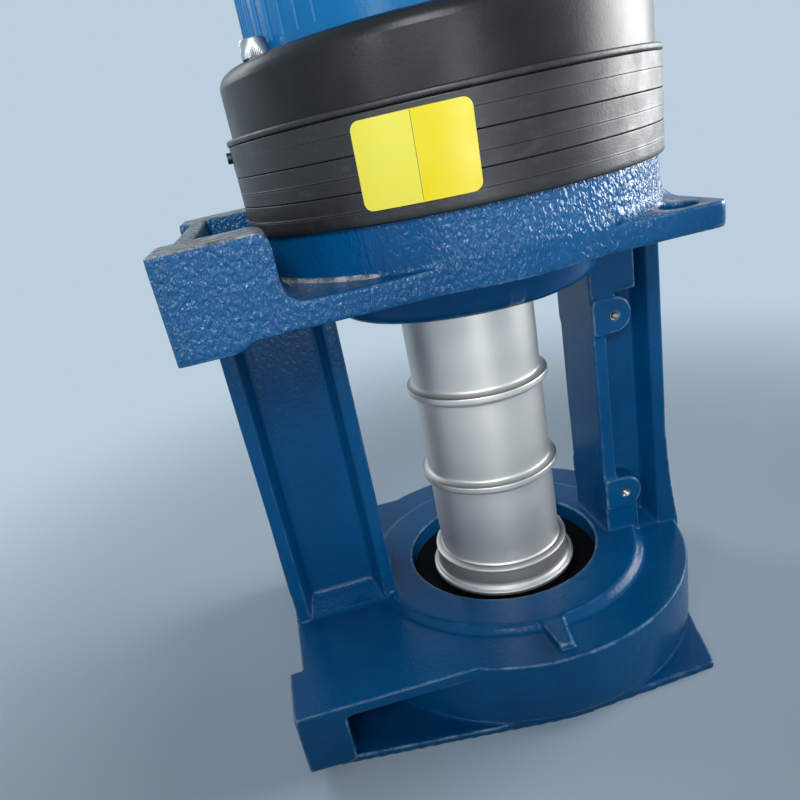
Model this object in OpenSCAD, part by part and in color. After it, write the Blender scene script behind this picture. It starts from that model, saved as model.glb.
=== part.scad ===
// Gearless belt traction machine for an elevator.
// It stands on its outboard end: Z is the shaft axis, -X is the foot side and
// +X is up when the machine hangs its belts. Z = 0 is the outboard end face.

/* [Sheave shaft] */
// Diameter of each belt lane
lane_d = 100; // [96:1:102]
// Distance between neighbouring ridges
lane_pitch = 74; // [72:0.5:75]
// Height of a ridge above its lanes
ridge_rise = 5.3; // [3:0.1:6]
// Width of a ridge at its root
ridge_w = 9; // [6:0.5:12]
// How much larger a lane is at its middle, on the diameter
lane_crown = 0.6; // [0.2:0.1:1.2]

/* [Frame casting] */
// Distance from the shaft axis to the foot plane
axis_height = 198; // [196:1:200]
// Half width of the casting over its feet
foot_half_w = 133; // [131:1:136]
// Width of each foot pad
foot_pad_w = 48; // [44:1:52]
// How far the wall between two pads is set back
foot_relief = 10; // [6:1:14]
// Radius of the outboard bearing housing
housing_r = 149; // [146:1:150]
// Height of the outboard end frame
outboard_h = 61; // [60:1:63]
// Thickness of the end plate
end_plate_t = 6; // [5:1:8]
// Width of both columns, across their flanges
column_w = 59; // [56:1:62]
// Thickness of a column flange
column_flange_t = 10.5; // [9:0.5:12]
// Thickness of a column web
column_web_t = 24; // [18:1:28]
// Underside of the brake flange
flange_z = 322; // [320:1:323]
// Thickness of the square part of the brake flange
flange_plate_t = 15; // [13:1:17]
// Friction face on top of the brake flange
friction_z = 365; // [364:1:366]

/* [Brake] */
// Radius of the brake housing
brake_r = 139; // [138:0.5:139.5]
// Gap that the armatures travel when the brake is released
brake_gap = 0.5; // [0.4:0.05:0.6]
// Top face of the brake housing
brake_top = 463; // [461:1:465]
// Number of brake mounting bolts
brake_bolts = 6; // [6:1:8]
// Outer radius of the dust band
band_r = 142.5; // [142:0.5:144]
// Height of the dust band
band_h = 60; // [56:1:61]

/* [Motor] */
// Radius of the motor housing, without its ribs
motor_r = 115; // [114:0.5:116]
// Length of the motor housing
motor_len = 227; // [226:1:240]
// Number of rotor poles
poles = 20; // [16:2:24]
// Number of stator slots
slots = 24; // [18:3:30]
// Gap between rotor and stator
air_gap = 1; // [0.8:0.1:1.5]

/* [Hidden] */
$fn = 96;
hex = 6;
eps = 0.02;
slip = 0.05;        // radial gap of a turning or sliding fit
ball_gap = 0.35;    // radial gap of a ball in its races
lane_r = lane_d / 2;
ridge_r = lane_r + ridge_rise;
ridge_crest = 3.4;
first_ridge_z = 76;
last_ridge_z = first_ridge_z + 3 * lane_pitch;
lip_r = lane_r + 10.3;
lip_z = 57;
lip_t = 3;

// outboard end: 65 x 140 x 33 ball bearing behind a bolted cover
out_bore = 65;
out_od = 140;
out_w = 33;
out_z = 9;
seal_z = 46;
seal_h = 5;
seal_bore = 43.3;
recess_r = 79;
shaft_opening = 64;
ring_r = 111;
ring_h = 5.6;
cover_r = 82;
cover_t = 8;
cover_bolt_r = 76;
end_plate_r = 143;
end_flange_x = 111;
end_flange_y = 136;
end_foot_y = 122;
end_corner_r = 3;
foot_under = 11;    // underside of the outboard foot
end_roof = 10;      // top wall of the hollow foot
foot_block = 35;    // depth of the foot pads
foot_rib_w = 14;
ring_rib = 33;

// columns, seen along the shaft
left_in_x = -101;
left_out_x = -186;
right_in_x = 86;
right_out_x = 142;
right_root_x = housing_r + 1;
draft = 11;
flare_z = 168;
root_in_x = 100;
high_block = 52;    // solid ends of the right column, above and below its pads
low_block = 31;
high_block_w = 36;
low_block_w = 28;
left_root = 14;
right_root = 10;
pad_x = 103;
pad_zs = [101.5, 253.5];
pad_r = 14;
pad_rise = 2;
pad_corner = 4;
pad_tap = 6.8;

// brake flange
flange_r = 140.5;
flange_top_r = 138.6;
flange_x = 126;
spigot_h = 6;
boss_z = 294;
boss_r = 98;
boss_tip_r = 88;
foot_z = 317;
foot_top = 377;
foot_in_x = -133;
foot_step_x = -166;
foot_step_w = 14;
foot_wall_t = 12;
ear_fillet = 10;
ear_in_x = 60;
ear_hole_x = 105;
ear_hole_y = 113;
ear_hole_d = 22;
corner_r = 9;
foot_tap = 14;
foot_tap_deep = 30;
foot_hole_y = foot_half_w - foot_pad_w / 2;
foot_hole_low = 29.5;   // below the top of the inboard feet

// main bearing: 80 x 170 x 39 ball bearing
main_bore = 80;
main_od = 170;
main_w = 39;
keeper_r = 93;
keeper_t = 4;
keeper_screw_circle = keeper_r - 4;

// brake stack
bolt_circle = 126;
bolt_phase = 25;
bolt_d = 10;
bolt_hold = 29;
bolt_deep = 34;
sleeve_r = 7;
disc_r = 117;
disc_core_r = 115;
lining_r = 93;
lining_t = 4;
disc_t = 22;
face_gap = 0.1;
disc_z = friction_z + face_gap;
armature_z = disc_z + disc_t + face_gap;
armature_t = 20;
split_gap = 2;
magnet_z = armature_z + armature_t + brake_gap + slip;
magnet_h = brake_top - magnet_z;
coil_in = [62, 74];
coil_out = [100, 112];
coil_h = 24;
coil_span = 150;
pole_span = 132;
spring_circle = 87;
spring_r = 7;
spring_wire = 2.6;
spring_h = 26;
spring_turns = 4.5;
spring_angles = [-51, -17, 17, 51];
hub_r = 52;
hub_top = armature_z + armature_t + 8;
spline_n = 24;
band_turns = 6;
spline_h = 2.5;
band_in = brake_r + 0.1;
band_z = friction_z + 0.4;
band_screw_z = band_z + band_h - 10;
band_screw_d = 4;
band_screw_deep = 8;
band_screw_at = [1, 181];

// motor
motor_z = brake_top;
motor_top = motor_z + motor_len;
motor_in = 100;
motor_rim_h = 7;
tie_bolts = 6;
tie_circle = 106;
tie_phase = -5;
tie_d = 6;
tie_deep = 12;
tie_sink = 8;
cover_screw_circle = 62;
cover_screw_d = 5;
bracket_screw_circle = 44;
rib_groups = [45, 135, 200, 315];
rib_pitch = 6.4;
rib_r = 1.9;
core_in = 73;
core_z = motor_z + 42;
core_h = 135;
coil_end_h = 22;
rotor_out = core_in - air_gap;
magnet_t = 6;
yoke_t = 9;
rotor_z = core_z - 5;
rotor_h = 145;
shaft_mid_r = 36;
key_w = 10;
hub_key_len = 40;
hub_key_in = 46;       // below the hub's top
rotor_key_len = 110;
rotor_key_in = 12;     // above the spider's foot
nut_t = 10;
rotor_seat_r = 33;
rear_bore = 40;
rear_od = 80;
rear_w = 18;
rear_z = motor_top - 6;
shield_z = motor_top - 12;
shield_top = motor_top + 16;
enc_z = shield_top + 1;
enc_h = 34;
cap_r = 78;
cap_h = 58;
box_x = motor_r + 2;
box_z = motor_z + 82;
box_w = 104;
box_h = 110;
box_d = 48;
box_wall = 4;
box_pad_in = 60;
wire_hole = 30;
box_screw_d = 5;
box_screw_len = 14;
lid_screw_d = 4;
lid_screw_len = 20;
lid_screw_in = 6;
lid_t = 6;
gasket_t = 1.5;
glands = [[30, 25], [78, 20]];     // height and thread diameter of each

// ---------- shared shapes ----------

module tube(r_out, r_in, h) {
    difference() {
        cylinder(r = r_out, h = h);
        translate([0, 0, -1]) cylinder(r = r_in, h = h + 2);
    }
}

module around(n, r, phase = 0) {
    for (i = [0 : n - 1])
        rotate([0, 0, phase + i * 360 / n]) translate([r, 0, 0]) children();
}

module sector(r_out, r_in, span, h) {
    rotate([0, 0, -span / 2])
        rotate_extrude(angle = span) translate([r_in, 0]) square([r_out - r_in, h]);
}

// Socket head screw, shank down along -Z, underside of the head at Z = 0
module socket_screw(d, len) {
    difference() {
        union() {
            cylinder(d = d * 1.6, h = d);
            translate([0, 0, -len]) cylinder(d = d, h = len + eps);
        }
        translate([0, 0, d * 0.45]) cylinder(d = d * 0.92, h = d, $fn = hex);
    }
}

// Flat screw that ends flush at Z = 0
module flat_screw(d, len) {
    difference() {
        union() {
            translate([0, 0, -d * 0.5]) cylinder(d1 = d, d2 = d * 2, h = d * 0.5);
            translate([0, 0, -len]) cylinder(d = d, h = len);
        }
        translate([0, 0, -d * 0.4]) cylinder(d = d * 0.7, h = d, $fn = hex);
    }
}

module flat_screw_hole(d, len) {
    translate([0, 0, -d * 0.5]) cylinder(d1 = d, d2 = d * 2, h = d * 0.5 + eps);
    translate([0, 0, -len]) cylinder(d = d, h = len);
}

module rounded_plate(x0, x1, y, r, h) {
    translate([x0, -y, 0]) cube([x1 - x0 - r, 2 * y, h]);
    translate([x1 - r - eps, -y + r, 0]) cube([r + eps, 2 * (y - r), h]);
    for (s = [-1, 1]) translate([x1 - r, s * (y - r), 0]) cylinder(r = r, h = h);
}

// ---------- ball bearing ----------

function ball_r(bore, od) = (od - bore) * 0.155;
function pitch_r(bore, od) = (od + bore) / 4;

module race_cut(bore, od, w, z) {
    translate([0, 0, z + w / 2])
        rotate_extrude() translate([pitch_r(bore, od), 0])
            circle(r = ball_r(bore, od) + ball_gap, $fn = 48);
}

module outer_race(bore, od, w, z) {
    difference() {
        translate([0, 0, z]) tube(od / 2, pitch_r(bore, od) + ball_r(bore, od) * 0.55, w);
        race_cut(bore, od, w, z);
    }
}

module inner_race(bore, od, w, z) {
    difference() {
        translate([0, 0, z]) tube(pitch_r(bore, od) - ball_r(bore, od) * 0.55, bore / 2, w);
        race_cut(bore, od, w, z);
    }
}

module ball_ring(bore, od, w, z, n) {
    translate([0, 0, z + w / 2])
        around(n, pitch_r(bore, od)) sphere(r = ball_r(bore, od), $fn = 48);
}

module ball_cage(bore, od, w, z, n) {
    cage_t = ball_r(bore, od) * 0.35;
    cage_h = ball_r(bore, od) * 2.3;
    difference() {
        translate([0, 0, z + w / 2 - cage_h / 2])
            tube(pitch_r(bore, od) + cage_t, pitch_r(bore, od) - cage_t, cage_h);
        translate([0, 0, z + w / 2]) around(n, pitch_r(bore, od) - 2 * cage_t)
            rotate([0, 90, 0]) cylinder(r = ball_r(bore, od) + 0.15, h = 4 * cage_t);
    }
}

// ---------- frame casting ----------

module outboard_end() {
    base_h = outboard_h;
    deep = foot_block - foot_relief;
    step_y = end_foot_y - end_corner_r;
    low = end_plate_t - 1;
    linear_extrude(end_plate_t) end_outline();
    rotate_extrude() polygon([
        [0, low], [end_plate_r - 3, low], [housing_r, foot_under], [housing_r, base_h], [0, base_h]
    ]);
    // top plate, foot wall and rib of the foot
    translate([-axis_height + foot_relief, -foot_half_w, base_h - end_roof])
        cube([axis_height - foot_relief, 2 * foot_half_w, end_roof]);
    translate([-axis_height + foot_relief, -foot_half_w, foot_under])
        cube([deep, 2 * foot_half_w, base_h - foot_under]);
    translate([-axis_height + foot_relief, -step_y, low])
        cube([deep, 2 * step_y, foot_under - low + 1]);
    translate([-axis_height + foot_relief, -foot_rib_w / 2, low])
        cube([axis_height - end_plate_r, foot_rib_w, base_h - low]);
    foot_pads(foot_under, base_h, foot_block);
    // flat root of the right column's outer flange
    translate([root_in_x, -column_w / 2, foot_under])
        cube([right_root_x - root_in_x, column_w, base_h - foot_under]);
    // raised ring with a chamfered edge, and its short radial rib
    rotate_extrude() polygon([
        [0, base_h - 1], [ring_r + ring_h, base_h - 1], [ring_r + ring_h, base_h],
        [ring_r, base_h + ring_h], [0, base_h + ring_h]
    ]);
    rotate([0, 0, -91]) translate([ring_r - 4, 0, base_h - 1])
        linear_extrude(ring_h + 0.5) polygon([[0, -9], [ring_rib, -5], [ring_rib, 5], [0, 9]]);
}

// Outline of the end plate: tangent lines from the bearing housing to the
// corners of the foot and of the belt side
module end_outline() {
    hull() {
        circle(r = end_plate_r);
        for (s = [-1, 1]) {
            translate([end_flange_x - end_corner_r, s * (end_flange_y - end_corner_r)])
                circle(r = end_corner_r);
            translate([-axis_height + foot_relief + end_corner_r, s * (end_foot_y - end_corner_r)])
                circle(r = end_corner_r);
        }
    }
}

module foot_pads(z0, z1, deep) {
    for (s = [-1, 1])
        translate([-axis_height, s * foot_half_w - (s > 0 ? foot_pad_w : 0), z0])
            cube([deep, foot_pad_w, z1 - z0]);
}

// I-section: two flanges and a web, with drafted sides in both recesses
module i_section(x0, x1) {
    h = column_w / 2;
    w = column_web_t / 2;
    difference() {
        translate([x0, -h]) square([x1 - x0, column_w]);
        for (s = [-1, 1]) polygon([
            [x0 + column_flange_t, s * (h + eps)], [x1 - column_flange_t, s * (h + eps)],
            [x1 - column_flange_t - draft / 2, s * w], [x0 + column_flange_t + draft / 2, s * w]
        ]);
    }
}

module left_column() {
    translate([0, 0, outboard_h - 1])
        linear_extrude(flange_z - outboard_h + 2) i_section(left_out_x, left_in_x);
    column_roots(left_out_x, left_in_x, left_root);
}

module right_column() {
    h = column_w / 2;
    translate([0, 0, outboard_h - 1])
        linear_extrude(flange_z - outboard_h + 2) i_section(right_in_x, right_out_x);
    // outer flange flares out towards the bearing housing
    rise = flare_z - outboard_h;
    out = right_root_x - right_out_x;
    flare_r = (rise * rise + out * out) / (2 * out);
    intersection() {
        translate([right_out_x - column_flange_t, -h, outboard_h - 1])
            cube([out + column_flange_t, column_w, rise + 1]);
        translate([right_out_x + flare_r, h + 1, flare_z]) rotate([90, 0, 0])
            difference() {
                translate([-flare_r - 20, -rise - 1, 0]) cube([40, rise + 1, column_w + 2]);
                translate([0, 0, -1]) cylinder(r = flare_r, h = column_w + 4, $fn = 180);
            }
    }
    // thick ends of the web and the pads for the belt keepers
    translate([right_in_x, -h, flange_z - high_block])
        cube([high_block_w, column_w, high_block + 1]);
    translate([right_in_x, -h, outboard_h - 1]) cube([low_block_w, column_w, low_block]);
    for (z = pad_zs) translate([0, 0, z]) rotate([90, 0, 0])
        translate([0, 0, -h - pad_rise]) linear_extrude(column_w + 2 * pad_rise) keeper_pad();
    column_roots(right_in_x, right_out_x, right_root);
}

// Pad for the belt keeper: flat towards the shaft, round on its other side
module keeper_pad() {
    translate([pad_x, 0]) circle(r = pad_r);
    translate([right_in_x + pad_corner, -pad_r])
        square([pad_x - right_in_x - pad_corner, 2 * pad_r]);
    translate([right_in_x, -pad_r + pad_corner])
        square([pad_corner + 1, 2 * (pad_r - pad_corner)]);
    for (s = [-1, 1]) translate([right_in_x + pad_corner, s * (pad_r - pad_corner)])
        circle(r = pad_corner);
}

// Sloped webs that thicken both ends of a column between its flanges
module column_roots(x0, x1, size) {
    for (end = [[outboard_h, 1], [flange_z, -1]])
        translate([x0 + 2, 0, end[0]]) scale([1, 1, end[1]]) rotate([90, 0, 90])
            linear_extrude(x1 - x0 - 4) polygon([
                [-column_w / 2 + 1, -1], [column_w / 2 - 1, -1], [column_w / 2 - 1, 1],
                [column_web_t / 2, size], [-column_web_t / 2, size], [-column_w / 2 + 1, 1]
            ]);
}

module brake_flange() {
    // drum with a slight taper and the spigot inside the dust band
    rotate_extrude() polygon([
        [0, flange_z], [flange_r, flange_z], [flange_r, flange_z + flange_plate_t],
        [flange_top_r, friction_z], [flange_top_r, friction_z + spigot_h],
        [disc_r + 1.5, friction_z + spigot_h], [disc_r + 1.5, friction_z], [0, friction_z]
    ]);
    translate([0, 0, flange_z])
        rounded_plate(-axis_height + foot_relief, flange_x, foot_half_w, corner_r, flange_plate_t);
    // fillets between the drum and the two ears
    intersection() {
        translate([0, 0, flange_z])
            rounded_plate(ear_in_x, flange_x, foot_half_w, corner_r, 2 * flange_plate_t);
        translate([0, 0, flange_z + flange_plate_t - 1]) rotate_extrude() difference() {
            translate([flange_top_r - 4, 0]) square([ear_fillet + 5, ear_fillet + 1]);
            translate([flange_top_r + 1 + ear_fillet, ear_fillet + 1]) circle(r = ear_fillet);
        }
    }
    // bearing boss, rounded at its lower edge
    tip = boss_r - boss_tip_r;
    rotate_extrude() {
        polygon([
            [0, boss_z], [boss_tip_r, boss_z], [boss_r - 1, boss_z + tip],
            [boss_r + 4, flange_z + 1], [0, flange_z + 1]
        ]);
        translate([boss_tip_r - 1, boss_z + tip]) circle(r = tip);
    }
    rotate([0, 0, -86]) translate([boss_tip_r - 4, -5, boss_z + 3])
        cube([14, 10, flange_z - boss_z - 3]);
}

module inboard_foot() {
    foot_pads(foot_z, foot_top, axis_height + foot_in_x - corner_r);
    // rounded inner top edge of both lugs
    for (s = [-1, 1]) {
        y0 = s * foot_half_w - (s > 0 ? foot_pad_w : 0);
        translate([foot_in_x - corner_r, y0, foot_z])
            cube([corner_r, foot_pad_w, foot_top - foot_z - corner_r]);
        translate([foot_in_x - corner_r, y0 + foot_pad_w, foot_top - corner_r])
            rotate([90, 0, 0]) cylinder(r = corner_r, h = foot_pad_w);
        // fillet down to the square flange
        difference() {
            translate([foot_in_x - 1, y0, flange_z + 1])
                cube([13, foot_pad_w, flange_plate_t + 11]);
            translate([foot_in_x + 12, y0 - 1, flange_z + flange_plate_t + 12])
                rotate([-90, 0, 0]) cylinder(r = 12, h = foot_pad_w + 2);
        }
    }
    translate([-axis_height + foot_relief, -foot_half_w + 1, flange_z])
        cube([foot_wall_t, 2 * foot_half_w - 2, foot_top - flange_z]);
}

module machine_frame() {
    color("#0f4f88") difference() {
        union() {
            outboard_end();
            left_column();
            right_column();
            brake_flange();
            difference() {
                inboard_foot();
                translate([0, 0, friction_z - 1]) cylinder(r = band_r + 1.5, h = 20);
            }
        }
        // the lower edge of the foot block steps up towards the column in an S
        translate([foot_step_x, foot_half_w + 1, 0]) rotate([90, 0, 0])
            linear_extrude(2 * foot_half_w + 2) polygon([
                [0, foot_z - 1], [0, foot_z], [foot_step_w * 0.3, foot_z + 0.7],
                [foot_step_w * 0.7, flange_z - 0.7], [foot_step_w, flange_z],
                [-foot_step_x, flange_z], [-foot_step_x, foot_z - 1]
            ]);
        // outboard bearing seat, cover seat and seal recess
        translate([0, 0, -1]) cylinder(r = cover_r, h = cover_t + 1);
        cylinder(d = out_od, h = out_z + out_w);
        cylinder(r = shaft_opening, h = outboard_h);
        translate([0, 0, seal_z]) cylinder(r = recess_r, h = outboard_h);
        around(6, cover_bolt_r, 30) cylinder(d = 6, h = 26);
        // main bearing seat and shaft opening
        translate([0, 0, boss_z - 1]) cylinder(r = lip_r, h = friction_z);
        translate([0, 0, flange_z]) cylinder(d = main_od, h = friction_z);
        translate([0, 0, friction_z - keeper_t]) cylinder(r = keeper_r, h = keeper_t + 1);
        around(6, keeper_screw_circle, 15) translate([0, 0, friction_z - 18]) cylinder(d = 4, h = 20);
        around(brake_bolts, bolt_circle, bolt_phase)
            translate([0, 0, friction_z - bolt_deep]) cylinder(d = bolt_d, h = bolt_deep + 10);
        // holes in the corners of the square flange
        for (s = [-1, 1]) translate([ear_hole_x, s * ear_hole_y, flange_z - 1])
            cylinder(d = ear_hole_d, h = flange_plate_t + 40);
        // tapped holes of the pads and of the feet
        for (z = pad_zs) translate([pad_x, column_w / 2 + pad_rise + 1, z])
            rotate([90, 0, 0]) cylinder(d = pad_tap, h = column_w + 2 * pad_rise + 2);
        for (z = [(foot_under + outboard_h) / 2, foot_top - foot_hole_low], s = [-1, 1])
            translate([-axis_height - 1, s * foot_hole_y, z])
                rotate([0, 90, 0]) cylinder(d = foot_tap, h = foot_tap_deep + 1);
    }
}

// ---------- outboard end ----------

module outboard_cover() {
    color("#0f4f88") difference() {
        cylinder(r = cover_r - 0.1, h = cover_t);
        translate([0, 0, 4]) cylinder(r = out_od / 2 - 12, h = cover_t);
        around(6, cover_bolt_r, 30) translate([0, 0, 4.5]) rotate([180, 0, 0]) {
            cylinder(d = 10, h = 10);
            translate([0, 0, -5]) cylinder(d = 6, h = 6);
        }
    }
}

module outboard_cover_bolts() {
    color("silver") around(6, cover_bolt_r, 30) translate([0, 0, 4.5]) rotate([180, 0, 0])
        difference() {
            union() {
                cylinder(d = 9.6, h = 3.5);
                translate([0, 0, -20]) cylinder(d = 6 - 2 * slip, h = 20 + eps);
            }
            translate([0, 0, 1.5]) cylinder(d = 5, h = 5, $fn = hex);
        }
}

module outboard_seal() {
    color("#141414") translate([0, 0, seal_z]) difference() {
        rotate_extrude() polygon([
            [seal_bore, 0], [recess_r - slip, 0], [recess_r - slip, seal_h],
            [lip_r + 6, seal_h], [lip_r, 2.5], [seal_bore, 2.5]
        ]);
        translate([0, 0, -1]) cylinder(r = seal_bore, h = seal_h + 2);
    }
}

module outboard_outer_race() {
    color("silver") outer_race(out_bore, out_od, out_w, out_z);
}

module outboard_inner_race() {
    color("silver") inner_race(out_bore, out_od, out_w, out_z);
}

module outboard_balls() {
    color("silver") ball_ring(out_bore, out_od, out_w, out_z, 9);
}

module outboard_cage() {
    color("#b08d3c") ball_cage(out_bore, out_od, out_w, out_z, 9);
}

module outboard_circlip() {
    color("#30302e") translate([0, 0, out_z - 2.6]) difference() {
        cylinder(r = out_bore / 2 + 5, h = 2.5);
        translate([0, 0, -1]) cylinder(r = out_bore / 2 - 1.5, h = 5);
        translate([0, 0, -1]) rotate([0, 0, 90]) linear_extrude(5)
            polygon([[0, 0], [60, -7], [60, 7]]);
    }
}

// ---------- main bearing ----------

module main_outer_race() {
    color("silver") outer_race(main_bore, main_od, main_w, flange_z);
}

module main_inner_race() {
    color("silver") inner_race(main_bore, main_od, main_w, flange_z);
}

module main_balls() {
    color("silver") ball_ring(main_bore, main_od, main_w, flange_z, 9);
}

module main_cage() {
    color("#b08d3c") ball_cage(main_bore, main_od, main_w, flange_z, 9);
}

module bearing_keeper() {
    color("#8a8d90") translate([0, 0, friction_z - keeper_t]) difference() {
        tube(keeper_r - slip, pitch_r(main_bore, main_od) + 12, keeper_t);
        translate([0, 0, keeper_t]) around(6, keeper_screw_circle, 15) flat_screw_hole(4, 10);
    }
}

module bearing_keeper_screws() {
    color("#8a8d90") translate([0, 0, friction_z])
        around(6, keeper_screw_circle, 15) flat_screw(4 - 2 * slip, 14);
}

// ---------- rotor ----------

// One ridge, added to a turned profile: root, flanks and crest
function ridge_points(z) = [
    [lane_r, z - ridge_w / 2], [ridge_r - 1, z - ridge_crest / 2 - 0.4],
    [ridge_r, z - ridge_crest / 2 + 0.4], [ridge_r, z + ridge_crest / 2 - 0.4],
    [ridge_r - 1, z + ridge_crest / 2 + 0.4], [lane_r, z + ridge_w / 2]
];

function lane_points(z) = [
    for (i = [1 : 7]) let (t = i / 4 - 1)
        [lane_r + lane_crown / 2 * (1 - t * t),
         z + ridge_w / 2 + i / 8 * (lane_pitch - ridge_w)]
];

module traction_shaft() {
    journal = out_bore / 2;
    color("#c9ccd0") difference() {
        rotate_extrude() polygon(concat(
            [[0, 5.2], [journal - 1.5, 5.2], [journal - 1.5, out_z - 0.1], [journal, out_z - 0.1],
             [journal, out_z + out_w], [43, out_z + out_w], [43, lip_z - lip_t],
             [lip_r - 1, lip_z - lip_t], [lip_r, lip_z - lip_t + 1], [lip_r, lip_z - 0.5],
             [lane_r + 3, lip_z + 4], [lane_r + 1.5, lip_z + 9]],
            ridge_points(first_ridge_z), lane_points(first_ridge_z),
            ridge_points(first_ridge_z + lane_pitch), lane_points(first_ridge_z + lane_pitch),
            ridge_points(first_ridge_z + 2 * lane_pitch),
            lane_points(first_ridge_z + 2 * lane_pitch),
            ridge_points(last_ridge_z),
            [[46, last_ridge_z + 8], [46, flange_z], [main_bore / 2, flange_z],
             [main_bore / 2, flange_z + main_w], [shaft_mid_r, flange_z + main_w],
             [shaft_mid_r, rotor_z - 4], [rotor_seat_r + 5, rotor_z - 4],
             [rotor_seat_r + 5, rotor_z], [rotor_seat_r, rotor_z],
             [rotor_seat_r, rotor_z + rotor_h + nut_t + 2],
             [rear_bore / 2 + 4, rotor_z + rotor_h + nut_t + 2],
             [rear_bore / 2 + 4, rear_z], [rear_bore / 2, rear_z],
             [rear_bore / 2, rear_z + rear_w + 1], [8, rear_z + rear_w + 1],
             [8, enc_z + enc_h - 10], [0, enc_z + enc_h - 10]]
        ));
        key_slot(shaft_mid_r, hub_top - hub_key_in, hub_key_len, key_w);
        key_slot(rotor_seat_r, rotor_z + rotor_key_in, rotor_key_len, key_w);
        // centre drilling and a tapped extraction hole
        translate([0, 0, 5]) cylinder(d = 16, h = 40);
    }
}

module key_slot(r, z, len, w) {
    translate([r - 5, -w / 2, z]) cube([10, w, len]);
}

module key_bar(r, z, len, w) {
    translate([r - 5 + slip, -w / 2 + slip, z + slip]) cube([8, w - 2 * slip, len - 2 * slip]);
}

module brake_hub() {
    low = flange_z + main_w;
    color("#6f7276") difference() {
        union() {
            translate([0, 0, low]) cylinder(r = 46, h = disc_z - low + 1.5);
            translate([0, 0, disc_z + 1]) cylinder(r = hub_r - spline_h, h = hub_top - disc_z - 1);
            around(spline_n, hub_r - spline_h - 1)
                translate([0, -3, disc_z + 1]) cube([spline_h + 1, 6, disc_t - 1]);
        }
        translate([0, 0, low - 1]) cylinder(r = shaft_mid_r, h = hub_top - low + 2);
        translate([shaft_mid_r - 2, -key_w / 2, low - 1]) cube([6, key_w, hub_top - low + 2]);
    }
}

module hub_key() {
    color("#8a8d90") key_bar(shaft_mid_r, hub_top - hub_key_in, hub_key_len, key_w);
}

module friction_disc() {
    color("#9a9c9e") difference() {
        translate([0, 0, disc_z + lining_t]) cylinder(r = disc_core_r, h = disc_t - 2 * lining_t);
        translate([0, 0, disc_z]) {
            cylinder(r = hub_r - spline_h + 0.3, h = disc_t);
            around(spline_n, hub_r - spline_h - 1)
                translate([0, -3.3, 0]) cube([spline_h + 1.4, 6.6, disc_t]);
            around(6, 76) cylinder(r = 9, h = disc_t);
        }
    }
}

module friction_linings() {
    color("#4a423a") for (z = [disc_z, disc_z + disc_t - lining_t])
        translate([0, 0, z]) tube(disc_r, lining_r, lining_t);
}

// ---------- brake magnet ----------

// One half of the split armature plate, side = 1 or -1 along Y
module armature_half(side) {
    color("#a5a7a9") difference() {
        translate([0, 0, armature_z]) cylinder(r = flange_top_r - 2, h = armature_t);
        translate([0, 0, armature_z - 1]) {
            cylinder(r = hub_r + 4, h = armature_t + 2);
            around(brake_bolts, bolt_circle, bolt_phase)
                cylinder(r = sleeve_r + 0.4, h = armature_t + 2);
            translate([-brake_r, side > 0 ? -brake_r : -split_gap / 2, -1])
                cube([2 * brake_r, brake_r + split_gap / 2, armature_t + 4]);
        }
    }
}

module armature_a() {
    armature_half(1);
}

module armature_b() {
    armature_half(-1);
}

// Closed loop of the pocket or the coil of one brake circuit
module coil_loop(side, grow, h) {
    rotate([0, 0, side * 90]) difference() {
        sector(coil_out[1] + grow, coil_in[0] - grow, coil_span + grow, h);
        translate([0, 0, -1])
            sector(coil_out[0] - grow, coil_in[1] + grow, pole_span - grow, h + 2);
    }
}

module spring_places(side) {
    for (a = spring_angles)
        rotate([0, 0, side * 90 + a]) translate([spring_circle, 0, magnet_z]) children();
}

module brake_housing() {
    edge = 9;
    low_r = flange_top_r;
    color("#1b1c1e") difference() {
        union() {
            rotate_extrude() polygon([
                [0, magnet_z], [low_r, magnet_z], [low_r, band_z + band_h], [brake_r, band_z + band_h],
                [brake_r, brake_top - edge], [brake_r - edge * 0.293, brake_top - edge * 0.293],
                [brake_r - edge, brake_top], [0, brake_top]
            ]);
            translate([0, 0, brake_top - edge])
                rotate_extrude() translate([brake_r - edge, 0]) circle(r = edge - 0.01);
        }
        translate([0, 0, magnet_z - 1]) cylinder(r = hub_r + 2, h = magnet_h + 2);
        for (side = [-1, 1]) {
            translate([0, 0, magnet_z - 0.01]) coil_loop(side, 0.3, coil_h + 1);
            spring_places(side) translate([0, 0, -1]) cylinder(r = spring_r + 1, h = spring_h + 1);
        }
        around(brake_bolts, bolt_circle, bolt_phase)
            translate([0, 0, magnet_z - 1]) cylinder(d = bolt_d + 1, h = magnet_h + 2);
        around(tie_bolts, tie_circle, tie_phase)
            translate([0, 0, brake_top - tie_deep - 2]) cylinder(d = tie_d, h = tie_deep + 3);
        band_screw_places(low_r - band_screw_deep)
            cylinder(d = band_screw_d, h = band_screw_deep + 5);
    }
}

module brake_coil_a() {
    color("#7a3b1e") translate([0, 0, magnet_z + 0.5]) coil_loop(1, 0, coil_h);
}

module brake_coil_b() {
    color("#7a3b1e") translate([0, 0, magnet_z + 0.5]) coil_loop(-1, 0, coil_h);
}

module spring() {
    pitch_circle = spring_r - spring_wire / 2;
    translate([0, 0, -brake_gap]) linear_extrude(
        height = spring_h - 0.2, twist = -360 * spring_turns, slices = 32, $fn = 6)
        translate([pitch_circle, 0]) circle(d = spring_wire, $fn = 6);
}

module brake_springs_a() {
    color("#c9b14c") spring_places(1) spring();
}

module brake_springs_b() {
    color("#c9b14c") spring_places(-1) spring();
}

module brake_guide_sleeves() {
    low = friction_z + spigot_h;
    color("#b9bbbd") around(brake_bolts, bolt_circle, bolt_phase)
        translate([0, 0, low]) tube(sleeve_r, bolt_d / 2 + 0.1, magnet_z - low);
}

module brake_bolts() {
    color("#c4c6c8") around(brake_bolts, bolt_circle, bolt_phase)
        translate([0, 0, brake_top])
            socket_screw(bolt_d - 2 * slip, brake_top - friction_z + bolt_hold);
}

// ---------- dust band ----------

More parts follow.
